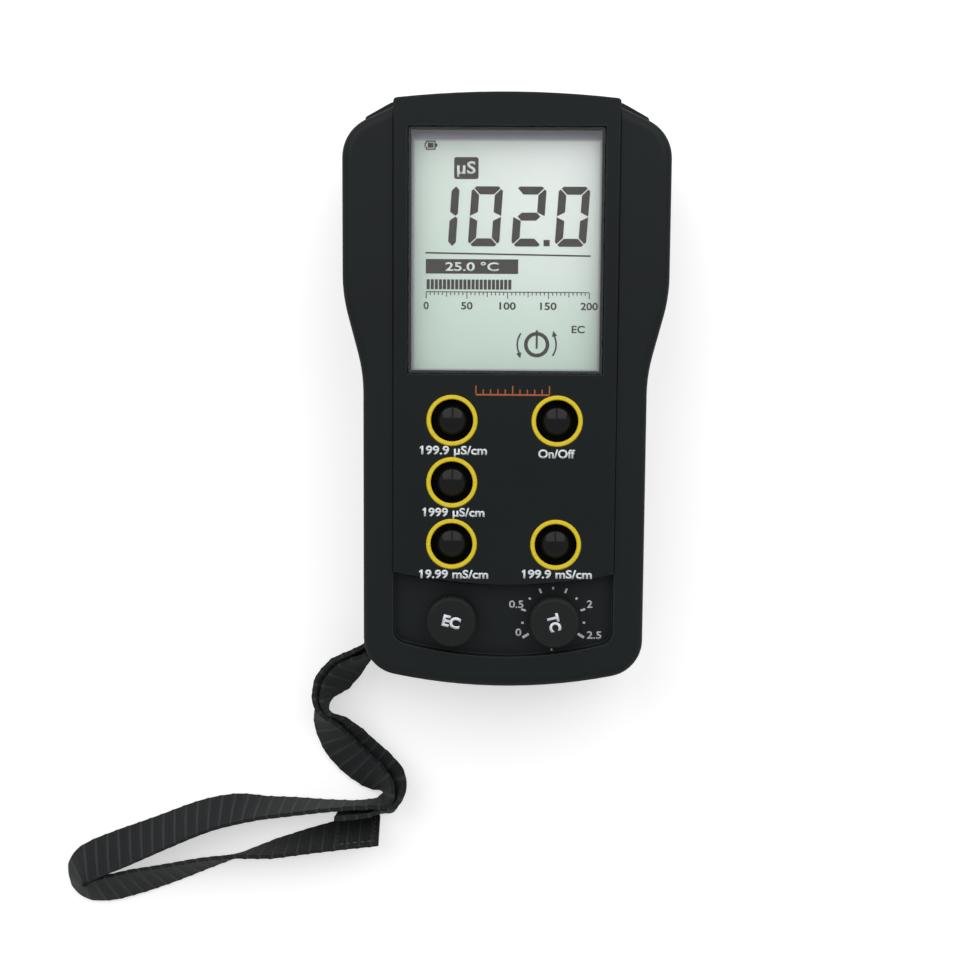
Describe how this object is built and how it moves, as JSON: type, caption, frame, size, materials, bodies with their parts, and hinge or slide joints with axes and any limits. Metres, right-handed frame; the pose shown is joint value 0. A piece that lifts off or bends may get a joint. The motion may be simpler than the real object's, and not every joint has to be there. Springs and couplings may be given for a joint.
{
  "type": "conductivity meter",
  "caption": "Hand-held conductivity meter with display, range buttons, two trim knobs, probe socket, battery bay and wrist strap.",
  "frame": {"origin": "under the middle of the case, on the surface that the meter lies on", "axes": "+Z out of the front, +Y towards the probe socket end, +X to the right of the display"},
  "size_m": [0.1568, 0.2124, 0.036],
  "materials": {
    "case_plastic": "fine moulded texture, satin black",
    "panel_plastic": "satin black, slightly finer than the case",
    "window_clear": "clear polished acrylic",
    "lcd": "pale green reflective display",
    "inner_plastic": "plain moulded black",
    "zebra_rubber": "silicone rubber",
    "board_green": "green solder mask",
    "button_gloss": "polished black",
    "ring_yellow": "yellow print",
    "knob_plastic": "satin black, knurled side",
    "steel": "plated steel",
    "chrome": "bright nickel plate",
    "brass": "gold plated contact",
    "battery_wrap": "plain dark sleeve",
    "lead_wire": "insulated wire",
    "webbing": "black woven nylon"
  },
  "bodies": {
    "case": {"battery_block": "battery_wrap", "battery_leads": "lead_wire", "battery_snap": "inner_plastic", "battery_terminals": "chrome", "board_capacitors": "inner_plastic", "board_chips": "inner_plastic", "board_screws": "steel", "button_ring_1": "ring_yellow", "button_ring_2": "ring_yellow", "button_ring_3": "ring_yellow", "button_ring_4": "ring_yellow", "button_ring_5": "ring_yellow", "case_screws": "steel", "display_window": "window_clear", "ec_potentiometer": "inner_plastic", "end_cap": "case_plastic", "front_panel": "panel_plastic", "front_shell": "case_plastic", "lcd_frame": "inner_plastic", "lcd_glass": "lcd", "main_board": "board_green", "rear_shell": "case_plastic", "socket_contacts": "brass", "socket_insert": "inner_plastic", "socket_ring": "chrome", "strap_bar": "steel", "strap_fold": "webbing", "tact_switch_1": "inner_plastic", "tact_switch_2": "inner_plastic", "tact_switch_3": "inner_plastic", "tact_switch_4": "inner_plastic", "tact_switch_5": "inner_plastic", "tc_potentiometer": "inner_plastic", "wrist_strap": "webbing", "zebra_strips": "zebra_rubber"},
    "battery_cover": {"battery_cover": "case_plastic"},
    "ec_knob": {"ec_knob": "knob_plastic", "ec_shaft": "steel"},
    "tc_knob": {"tc_knob": "knob_plastic", "tc_shaft": "steel"},
    "range_button_1": {"range_button_1": "button_gloss", "switch_plunger_1": "inner_plastic"},
    "range_button_2": {"range_button_2": "button_gloss", "switch_plunger_2": "inner_plastic"},
    "range_button_3": {"range_button_3": "button_gloss", "switch_plunger_3": "inner_plastic"},
    "range_button_4": {"range_button_4": "button_gloss", "switch_plunger_4": "inner_plastic"},
    "power_button": {"power_button": "button_gloss", "switch_plunger_5": "inner_plastic"}
  },
  "joints": [
    {"name": "range_button_1_press", "type": "slide", "parent": "case", "child": "range_button_1", "axis": [0, 0, -1], "range_m": [0, 0.001], "stiffness_N_per_m": 400, "springref_m": -0.0005},
    {"name": "range_button_2_press", "type": "slide", "parent": "case", "child": "range_button_2", "axis": [0, 0, -1], "range_m": [0, 0.001], "stiffness_N_per_m": 400, "springref_m": -0.0005},
    {"name": "range_button_3_press", "type": "slide", "parent": "case", "child": "range_button_3", "axis": [0, 0, -1], "range_m": [0, 0.001], "stiffness_N_per_m": 400, "springref_m": -0.0005},
    {"name": "range_button_4_press", "type": "slide", "parent": "case", "child": "range_button_4", "axis": [0, 0, -1], "range_m": [0, 0.001], "stiffness_N_per_m": 400, "springref_m": -0.0005},
    {"name": "power_button_press", "type": "slide", "parent": "case", "child": "power_button", "axis": [0, 0, -1], "range_m": [0, 0.001], "stiffness_N_per_m": 400, "springref_m": -0.0005},
    {"name": "ec_knob_turn", "type": "hinge", "parent": "case", "child": "ec_knob", "pos_m": [-0.0126, -0.0551, 0.033], "axis": [0, 0, 1], "range_deg": [-126, 154]},
    {"name": "tc_knob_turn", "type": "hinge", "parent": "case", "child": "tc_knob", "pos_m": [0.0126, -0.0551, 0.033], "axis": [0, 0, 1], "range_deg": [-49, 195]},
    {"name": "battery_cover_slide", "type": "slide", "parent": "case", "child": "battery_cover", "axis": [0, -1, 0], "range_m": [0, 0.03]}
  ]
}
